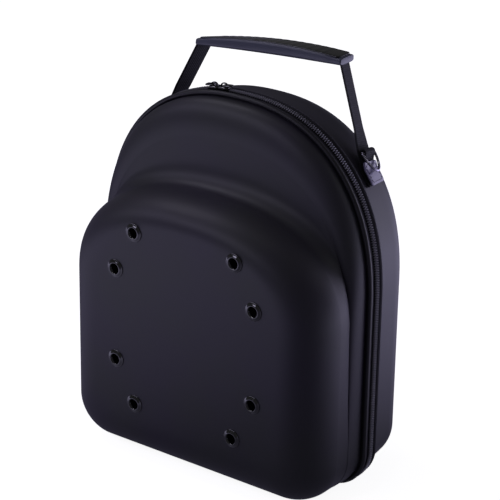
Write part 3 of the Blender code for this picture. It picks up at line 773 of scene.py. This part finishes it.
# %% The route of a strap
GRIP_LENGTH, GRIP_DEPTH, GRIP_HEIGHT = 151.0, 40.0, 357.0
GRIP_TILT, GRIP_ROLL = math.radians(4.8), math.radians(12)
STRAP_WIDTH, LOOP_WIDTH, TAB_WIDTH = 18.0, 15.0, 20.0
STRAP_THICK, LOOP_THICK, TAB_THICK = 1.8, 1.5, 2.0
RING_ABOVE, RING_WIRE, RING_PLAY = 14.5, 1.2, 0.4
STACK_HEIGHT = RING_ABOVE + RING_WIRE + RING_PLAY + LOOP_THICK
FOOT_HEIGHT, FOOT_DEPTH, HEAD_SPOT, TOE_TURN = 276.5, 29.0, 70.5, math.radians(14)


def unit(v):
    """Vectors divided by their lengths."""
    return v / np.linalg.norm(v, axis=-1, keepdims=True)


def grip_line(x):
    """Height of the grip's middle: a shallow arch plus its tilt."""
    return GRIP_HEIGHT + 3 * (1 - (2 * x / GRIP_LENGTH) ** 2) + math.tan(GRIP_TILT) * x


def on_wall(down, side):
    """Points a distance down the back shell's arched wall from the foot, with directions off and down."""
    inset = SEAT_INSET + BACK_DRAFT * FOOT_DEPTH
    a = np.linspace(0.02, math.pi / 2, 400)
    x = (HALF_WIDTH - inset) * np.sin(a) ** (2 / ARCH_POWER)
    z = SPRING + (CASE_HEIGHT - inset - SPRING) * np.cos(a) ** (2 / ARCH_POWER)
    travel = np.concatenate([[0], np.cumsum(np.hypot(np.diff(x), np.diff(z)))])
    here = np.interp(-FOOT_HEIGHT, -z, travel) + down
    at = [
        np.stack([np.interp(here + d, travel, x), 0 * here, np.interp(here + d, travel, z)], -1) for d in (-1, 0, 1)
    ]
    below = unit(at[2] - at[0])
    off = unit(np.stack([-below[:, 2], 0 * here + 0.08, below[:, 0]], -1))
    mirror = np.array([side, 1, 1])
    return (at[1] + (0, FOOT_DEPTH, 0)) * mirror, off * mirror, below * mirror


# %% Directions on the route
def strap_head(side):
    """Where the strap ends inside the grip."""
    x = side * HEAD_SPOT
    return np.array([x, GRIP_DEPTH, grip_line(x) + 0.5])


def strap_frames(down, side):
    """Points on the strap's inner face, with the directions off, down and across it.

    Past the foot the point runs straight to the grip. Its direction eases from wall to run over 3 mm
    each way, and across turns to the toe direction beyond the ring.
    """
    down = np.asarray(down, float)
    spot, off, below = on_wall(np.maximum(down, 0), side)
    spot = spot + off * GAP
    across = np.cross(off, below) * side
    foot, foot_off, _ = on_wall(np.zeros(1), side)
    foot = foot + foot_off * GAP
    run = unit(foot - strap_head(side))
    spot = np.where((down < 0)[:, None], foot + run * down[:, None], spot)
    ease = np.clip((down + 3) / 6, 0, 1)[:, None]
    below = unit(run * (1 - ease) + below * ease)
    toe = np.array([-side * math.sin(TOE_TURN), math.cos(TOE_TURN), 0])
    twist = np.clip(-down / STACK_HEIGHT - 1, 0, 1)[:, None]
    across = across * (1 - twist) + toe * twist
    across = unit(across - below * (across * below).sum(1, keepdims=True))
    return spot, np.cross(below, across) * side, below, across


reach = {side: float(np.linalg.norm(strap_frames([0.0], side)[0][0] - strap_head(side))) for side in (-1, 1)}
print("strap runs, mm:", {side: round(r, 1) for side, r in reach.items()})

# %% [markdown]
# ## Webbing straps
#
# A strap is a flat rounded section carried along the route. Real webbing has a slightly thicker woven
# edge on each side, which the section shows as two low ridges.

# %% A flat layer on the route
def web_section(count, ridge, ridge_place, ridge_width):
    """Unit section of webbing (across, off): a boxy round with a low ridge near each edge."""
    a = circle(count, math.pi / count)
    w, h = boxy(np.cos(a), 0.45), boxy(np.sin(a), 0.45)
    return w, h + np.sign(h) * ridge * np.exp(-((np.abs(w) - ridge_place) / ridge_width) ** 2)


def layer(down, width, low, high, side, ridge=0.0, end_round=0.0):
    """A rounded strip between two heights off the route; its width narrows at the ends by end_round.

    Near an end at distance d, the width loses r - sqrt(r^2 - (r - d)^2), where r is end_round.
    """
    down = np.asarray(down, float)
    spot, off, _, across = strap_frames(down, side)
    w, h = web_section(44, ridge, 0.84, 0.09)
    half = np.full(len(down), width / 2)
    if end_round:
        near = np.minimum(down - down.min(), down.max() - down)
        part = np.clip(end_round - near, 0, end_round)
        half = half - (end_round - np.sqrt(end_round ** 2 - part ** 2))
    x = across[:, None] * (half[:, None] * w)[..., None]
    y = off[:, None] * ((low + high) / 2 + (high - low) / 2 * h)[None, :, None]
    return spot[:, None] + x + y


for name, side in SIDES:
    stations = np.concatenate([np.linspace(14, 3, 8), np.linspace(2.5, -3, 9), np.linspace(-5, -reach[side], 60)])
    strap = skin(layer(stations, STRAP_WIDTH, 0, STRAP_THICK, side, ridge=0.16))
    add_piece(f"strap_{name}_webbing", strap, webbing, "webbing", stands_for=["strap_" + name])

# %% [markdown]
# ## Side tab, loop and D-ring
#
# At each side a loop of narrower webbing holds the D-ring, and a leather tab is sewn over the ends of
# loop and strap. The loop goes up under the ring's bar, over it, and down again a few millimetres,
# where a row of stitches closes it.

# %% The webbing loop
def loop_path():
    """Middle line of the loop as (down, height) pairs: up the strap, round the bar, down to the seam."""
    low = STRAP_THICK + GAP + LOOP_THICK / 2
    centre = low + LOOP_THICK / 2 + RING_PLAY + RING_WIRE
    radius = centre - low
    up = np.stack([np.linspace(13.2, -RING_ABOVE + 0.3, 24), np.full(24, low)], 1)
    a = np.linspace(-math.pi / 2, math.pi / 2, 17)
    bend = np.stack([-RING_ABOVE - radius * np.cos(a), centre + radius * np.sin(a)], 1)
    t = np.linspace(0, 1, 14)[1:]
    flap = np.stack([-RING_ABOVE + 7.2 * t, centre + radius - (2 * radius - 1.6) * t * t * (3 - 2 * t)], 1)
    return np.concatenate([up, bend, flap]), centre


def loop_shape(side):
    """The loop: a flat rounded section set square to its middle line in the plane of down and off."""
    path, _ = loop_path()
    spot, off, _, across = strap_frames(path[:, 0], side)
    middle = spot + off * path[:, 1:]
    along = unit(np.gradient(middle, axis=0))
    up = unit(np.cross(across, along))
    w, h = web_section(36, 0.14, 0.82, 0.1)
    wide = across[:, None] * (LOOP_WIDTH / 2 * w)[None, :, None]
    return skin(middle[:, None] + wide + up[:, None] * (LOOP_THICK / 2 * h)[None, :, None])


# %% Rows of stitches on the route
def stitch_row(down, aside, height, side, lengthwise):
    """Stitches at (down, aside) pairs, at a height off the route, lying along or across the strap."""
    spot, off, below, across = strap_frames(down, side)
    onward = below if lengthwise else across
    places = spot + off * height + across * np.asarray(aside)[:, None]
    return repeated(STITCH, places, np.cross(off, onward), off, onward)


for name, side in SIDES:
    add_piece(f"ring_loop_{name}_webbing", loop_shape(side), webbing, "webbing", stands_for=["ring_loop_" + name])
    seam = np.linspace(-5.6, 5.6, 5)
    top = STRAP_THICK + GAP + LOOP_THICK * 2 + 0.15
    row = stitch_row(np.full(5, -RING_ABOVE + 5.8), seam, top, side, False)
    add_piece(f"ring_loop_{name}_stitches", row, light_thread, "webbing", sharp=60)

# %% [markdown]
# The tab is a small piece of imitation leather, rounded at its corners and pressed down round its
# edge. A box of stitches holds it, with one row across the middle.

# %% Leather tabs
TAB_LOW = STRAP_THICK + LOOP_THICK + 2 * GAP
for name, side in SIDES:
    down = 14 - 20.5 * (0.5 - 0.5 * np.cos(np.linspace(0, math.pi, 41)))
    tab = skin(layer(down, TAB_WIDTH, TAB_LOW, TAB_LOW + TAB_THICK, side, end_round=2.5))
    add_piece(f"side_tab_{name}_leather", tab, tab_leather, "tab_leather", stands_for=["side_tab_" + name])
    top = TAB_LOW + TAB_THICK + 0.05
    lines = [stitch_row(np.linspace(-2.6, 10.4, 5), np.full(5, w), top, side, True) for w in (-7.4, 7.4)]
    lines += [stitch_row(np.full(5, d), np.linspace(-5.8, 5.8, 5), top, side, False) for d in (-4.0, 4.0, 11.8)]
    add_piece(f"side_tab_{name}_stitches", together(lines), thread, "tab_leather", sharp=60)

# %% [markdown]
# The D-ring is one piece of wire: a straight bar in the loop, two tight corners and a bow. The wire's
# round section is carried along that closed path, which lies in a plane that leans off the tab, as
# the ring does where it rests.

# %% D-rings
RING_HALF, RING_DROP, RING_CORNER, RING_LEAN = 10.5, 20.0, 2.2, math.radians(19)


def closed_tube(path, normal, radius, sides=14):
    """A round wire on a closed flat path: path + radius (cos a * sideways + sin a * plane normal)."""
    along = unit(np.roll(path, -1, 0) - np.roll(path, 1, 0))
    sideways = np.cross(along, normal)
    a = circle(sides)
    section = np.cos(a)[None, :, None] * sideways[:, None] + np.sin(a)[None, :, None] * normal
    return skin(path[:, None] + radius * section, close_rows=True)


def ring_path(half, corner, bow):
    """Half the D as (across, fall): the bar's corner, then a quarter bow with a power on its sine."""
    a = np.linspace(0, math.pi / 2, 9)
    bend = np.stack([half - corner + corner * np.sin(a), corner * (1 - np.cos(a))], 1)
    b = np.linspace(0, math.pi / 2, 25)[1:]
    arc = np.stack([half * np.cos(b), corner + bow * np.sin(b) ** 1.25], 1)
    right = np.concatenate([bend, arc])
    return np.concatenate([right, (right[:-1] * (-1, 1))[::-1]])


for name, side in SIDES:
    spot, off, below, across = (v[0] for v in strap_frames([-RING_ABOVE], side))
    bar = spot + off * loop_path()[1]
    fall = unit(below * math.cos(RING_LEAN) + off * math.sin(RING_LEAN))
    flat = ring_path(RING_HALF - RING_WIRE, RING_CORNER, RING_DROP - 2 * RING_WIRE - RING_CORNER)
    path = bar + across * flat[:, :1] + fall * flat[:, 1:]
    ring = closed_tube(path, np.cross(across, fall), RING_WIRE * 0.92)
    add_piece(
        f"d_ring_{name}_wire", ring, steel_wire, "ring_steel", body="ring_" + name, stands_for=["d_ring_" + name]
    )

# %% [markdown]
# ## The grip
#
# The grip is moulded in one piece, arched a little, thin where the straps enter and full in the
# middle. It is a boxy oval section carried from end to end, rolled back towards the left, with
# a polished ribbed pad let into its top.

# %% Grip body
def grip_rows(x, half_width, low, high, power):
    """Sections along x: signed powers of cosine and sine, rolled about the grip's line."""
    x = np.asarray(x, float)[:, None]
    share = 2 * x / GRIP_LENGTH
    turn = GRIP_ROLL * (1 - share) / 2
    a = circle(48)
    y = half_width * boxy(np.cos(a), power)
    s = boxy(np.sin(a), power)
    z = (low + high) / 2 + (high - low) / 2 * s
    depth = GRIP_DEPTH + y * np.cos(turn) + z * np.sin(turn)
    return np.stack([x + 0 * z, depth, grip_line(x) + z * np.cos(turn) - y * np.sin(turn)], -1)


def grip_bulk(x):
    """Half height of the grip: 5.5 mm in the middle, 3.5 mm at the ends."""
    return 3.5 + 2.0 * (1 - (x[:, None] / HALF_GRIP) ** 2)


def blunt_end(distance, size):
    """Share of the full section at a distance from an end: a quarter circle of that size."""
    return np.sqrt(1 - (1 - np.clip(distance / size, 0, 1)) ** 2)[:, None]


HALF_GRIP, HALF_PAD, HALF_RIBS, RIB_PITCH, RIB_HEIGHT = GRIP_LENGTH / 2, 73.0, 58.0, 8.0, 0.18
x = HALF_GRIP * np.sin(np.linspace(-math.pi / 2, math.pi / 2, 97))
near_end = HALF_GRIP - np.abs(x)
full = np.clip((near_end - 7) / 10, 0, 1)[:, None]
full = full * full * (3 - 2 * full)
bulk, blunt = grip_bulk(x), blunt_end(near_end, 1.6)
half, squeeze = (10.2 + 0.8 * full) * (0.9 + 0.1 * blunt), 0.8 + 0.2 * blunt
grip = grip_rows(x, half, -bulk * squeeze, (bulk - 0.7 + 0.7 * full) * squeeze, 0.42)
add_piece("handle_grip_body", skin(grip), grip_body_painted_light, "grip_plastic", stands_for=["handle_grip"])

# %% [markdown]
# The pad's top carries low ribs across it for hold. They are a cosine along the pad that is added to
# the height of the upper half of the section only.

# %% Polished pad on the grip
x = HALF_PAD * np.sin(np.linspace(-math.pi / 2, math.pi / 2, 241))
ends, crown = blunt_end(HALF_PAD - np.abs(x), 3), grip_bulk(x)
ribs = (RIB_HEIGHT * (0.5 + 0.5 * np.cos(2 * math.pi * x / RIB_PITCH)) * (np.abs(x) < HALF_RIBS))[:, None]
pad = grip_rows(x, 9.6 * (0.4 + 0.6 * ends), crown - 1.2, crown + 0.35 * ends + ribs, 0.5)
add_piece("handle_grip_pad", skin(pad), grip_gloss, "grip_plastic", sharp=70)

# %% [markdown]
# ## Zip sliders and pulls
#
# A slider is a cast channel that rides on the coil. From outside one sees its smooth domed back with
# a bridge over it, and a short pull that swings on the bridge. Both are drawn in the slider's own
# directions: along the zip, across it (depth) and up off it.

# %% Directions on the crown
SLIDERS = {"left": (-31.0, -1), "right": (-20.5, 1)}


def crown_frame(x):
    """Point on the rim line at x near the crown, with the directions along and up there."""
    def height(at):
        """Height of the arch at x: its superellipse solved for z."""
        return SPRING + (CASE_HEIGHT - SPRING) * (1 - (abs(at) / HALF_WIDTH) ** ARCH_POWER) ** (1 / ARCH_POWER)
    along = unit(np.array([0.5, 0, height(x + 0.5) - height(x)]))
    return np.array([x, 0, height(x)]), along, np.array([-along[2], 0, along[0]])


def on_crown(place, s, y, n):
    """Points at (s, y, n): s along the zip, y in depth and n up."""
    spot, along, up = place
    return spot + s[..., None] * along + y[..., None] * np.array([0, 1.0, 0]) + n[..., None] * up


# %% Slider bodies with their bridges
def slider_shape(place, way):
    """A domed channel back: a boxy section that narrows to its nose, and an arched bridge over it."""
    t = np.sin(np.linspace(-math.pi / 2, math.pi / 2, 33))
    end = np.sqrt(1 - np.abs(t) ** 5)
    a = circle(36)
    c = boxy(np.cos(a), 0.5)
    s = boxy(np.sin(a), 0.5)
    half = (4.4 - 0.7 * (1 + way * t) / 2 * np.abs(t))[:, None] * (0.55 + 0.45 * end[:, None])
    top = 1.4 + 0.5 * (1 - t[:, None] ** 2)
    n = (top - 2.4) / 2 + (top + 2.4) / 2 * s * (0.5 + 0.5 * end[:, None])
    body = skin(on_crown(place, 5.2 * t[:, None] + 0 * n, half * c, n))
    b = np.linspace(-math.pi / 2, math.pi / 2, 25)
    mid_s, mid_n = 3.3 * np.sin(b), 0.9 + 3.3 * np.cos(b) ** 0.7
    ds, dn = np.gradient(mid_s), np.gradient(mid_n)
    size = np.hypot(ds, dn)
    e = circle(16)
    out = 0.62 * np.sin(e)[None]
    bridge = skin(on_crown(
        place, mid_s[:, None] - dn[:, None] / size[:, None] * out,
        1.15 * np.cos(e)[None] + 0 * mid_s[:, None], mid_n[:, None] + ds[:, None] / size[:, None] * out,
    ))
    return together([body, bridge])


# %% Pulls
def pull_shape(place, way):
    """A tab with a window: for each angle round it, an oval section from the window's edge to the outline."""
    t = circle(72)[:, None]
    c, s = np.cos(t), np.sin(t)
    inner_s = 2.35 + 1.75 * boxy(c, 0.7)
    inner_y = 1.5 * boxy(s, 0.7)
    outer_s = np.where(c > 0, 2.35 + 6.65 * np.abs(c) ** 0.62, 2.35 - 2.95 * np.abs(c) ** 0.7)
    outer_y = 3.2 * boxy(s, 0.6)
    p = circle(20)[None]
    mix = 0.5 - 0.5 * boxy(np.cos(p), 0.7)
    thick = 0.6 + 0.55 * np.clip(c, 0, 1) ** 2 * np.sin(mix * math.pi)
    n = 2.35 + thick * boxy(np.sin(p), 0.7)
    along = inner_s + (outer_s - inner_s) * mix
    return skin(on_crown(place, way * along, inner_y + (outer_y - inner_y) * mix, n), close_rows=True)


for name, (x, way) in SLIDERS.items():
    place = crown_frame(x)
    for part, shape, body in (("slider", slider_shape, "case"), ("pull", pull_shape, "pull_" + name)):
        node = f"{part}_{name}"
        add_piece(node + "_cast", shape(place, way), black_lacquer, "black_metal", body=body, stands_for=[node])

# %% [markdown]
# ## What stays from the CAD model
#
# The hinge strip under the foot is a plain flat strip of the same tape as the zip's, and its CAD shape
# is right, so it only gets a material. It has no UV, so its weave reads Object coordinates.

# %% Hinge strip
STRIP_YARN = 1.2


def strip_cloth():
    """Woven tape on Object coordinates: waves along X and Y, one yarn apart."""
    material, tree, shader = start_material("woven_hinge_strip", Roughness=0.7, Specular_IOR_Level=0.3)
    place = add_node(tree, "ShaderNodeTexCoord").outputs["Object"]
    cloth = calc(tree, "MULTIPLY", wave(tree, place, "X", STRIP_YARN), wave(tree, place, "Y", STRIP_YARN))
    two_colors(tree, shader, cloth, "#0f0e13", "#2a2832")
    raise_surface(tree, shader, cloth, 0.6, 0.15)
    return material


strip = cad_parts["foot_hinge_strip"]
strip.data.materials.clear()
strip.data.materials.append(strip_cloth())

# %% [markdown]
# ## Floor and light
#
# Black satin cloth has almost no colour of its own, so its form is drawn by what it mirrors: a bright
# white floor on the left and far right, and a dim side next to the camera, which leaves the dark band
# round the front's right edge. Lamps over a plain floor could do it. Here the floor itself gives off
# that light in round pools, which is quicker to steer, and three soft lamps light the case from above.
# One is a long strip, which the sloping lips of the eyelets mirror. Three tiny ones put glints on the
# lacquer. The camera sees the same floor plain and pale, with only the case's shadow on it.

# %% Floor
FLOOR_FILL, FLOOR_GLOW, FLOOR_SIZE = 0.13, 0.9, 14.0
FLOOR_POOLS = (((-0.6, -0.75, 0), 0.85, 1.75), ((0.8, 0.8, 0), 0.95, 2.6), ((1.15, 1.2, 0), 1.55, 1.4))


def light_pool(tree, place, centre, radius, strength):
    """Light that falls off evenly from a centre on the floor to nothing at a radius."""
    shift = (-centre[0] / radius, -centre[1] / radius, 0)
    moved = add_node(
        tree, "ShaderNodeMapping", values={"Location": shift, "Scale": (1 / radius,) * 3}, links={"Vector": place}
    )
    ball = add_node(tree, "ShaderNodeTexGradient", {"gradient_type": "SPHERICAL"}, links={"Vector": moved.outputs[0]})
    return calc(tree, "MULTIPLY", ball.outputs["Fac"], strength)


def floor_material():
    """Pale floor to the camera, and pools of light to everything else."""
    material = bpy.data.materials.new("white_studio_floor")
    material.use_nodes = True
    tree = material.node_tree
    tree.nodes.remove(tree.nodes["Principled BSDF"])
    place = add_node(tree, "ShaderNodeTexCoord").outputs["Object"]
    total = FLOOR_FILL
    for pool in FLOOR_POOLS:
        total = calc(tree, "ADD", total, light_pool(tree, place, *pool))
    pale = add_node(tree, "ShaderNodeBsdfDiffuse", values={"Color": linear("#efefef")})
    glow = add_node(tree, "ShaderNodeEmission", values={"Strength": FLOOR_GLOW})
    seen = add_node(tree, "ShaderNodeAddShader", links={0: pale.outputs[0], 1: glow.outputs[0]})
    pool = add_node(tree, "ShaderNodeEmission", {}, {"Color": linear("#dfdaff")}, {"Strength": total})
    path = add_node(tree, "ShaderNodeLightPath")
    mix = add_node(
        tree, "ShaderNodeMixShader",
        links={0: path.outputs["Is Camera Ray"], 1: pool.outputs[0], 2: seen.outputs[0]},
    )
    tree.links.new(mix.outputs[0], tree.nodes["Material Output"].inputs["Surface"])
    return material


corners = [(x * FLOOR_SIZE, y * FLOOR_SIZE, 0) for x, y in ((-1, -1), (1, -1), (1, 1), (-1, 1))]
floor_mesh = bpy.data.meshes.new("floor")
floor_mesh.from_pydata(corners, [], [(0, 1, 2, 3)])
floor_mesh.materials.append(floor_material())
add_object("floor", floor_mesh)


# %% Lights
def soft_light(name, place, aim, size, watts, color="#ffffff"):
    """A rectangular area light at a place, turned towards a point and unseen by the camera."""
    data = bpy.data.lights.new(name, "AREA")
    data.shape, data.size, data.size_y = "RECTANGLE", size[0], size[1]
    data.energy, data.color = watts, linear(color)[:3]
    lamp = add_object(name, data)
    lamp.location = place
    lamp.rotation_euler = (Vector(aim) - Vector(place)).to_track_quat("-Z", "Y").to_euler()
    lamp.visible_camera = False


CASE_MIDDLE = (0, 0, 0.17)
soft_light("left_front", (-1.1, -1.4, 1.3), CASE_MIDDLE, (2.2, 0.4), 7.5, "#e2ddff")
soft_light("left_high", (-1.25, -0.15, 2.0), CASE_MIDDLE, (0.5, 0.5), 5, "#ece8ff")
soft_light("right_back", (1.2, 1.8, 0.5), CASE_MIDDLE, (1.4, 0.8), 8, "#e2ddff")
for number, place in enumerate([(-0.9, -1.5, 1.6), (0.1, -0.3, 2.4), (1.5, 0.6, 1.3)]):
    soft_light(f"glint_{number}", place, CASE_MIDDLE, (0.1, 0.1), 0.5)

world = bpy.data.worlds.new("studio")
world.use_nodes = True
background = world.node_tree.nodes["Background"]
background.inputs["Color"].default_value = linear("#fbfaff")
rays = add_node(world.node_tree, "ShaderNodeLightPath")
dim = calc(world.node_tree, "MULTIPLY_ADD", rays.outputs["Is Camera Ray"], 0.92, 0.08)
world.node_tree.links.new(dim, background.inputs["Strength"])
bpy.context.scene.world = world
bpy.context.scene.view_settings.view_transform = "Standard"
print("lights:", len(bpy.data.lights))
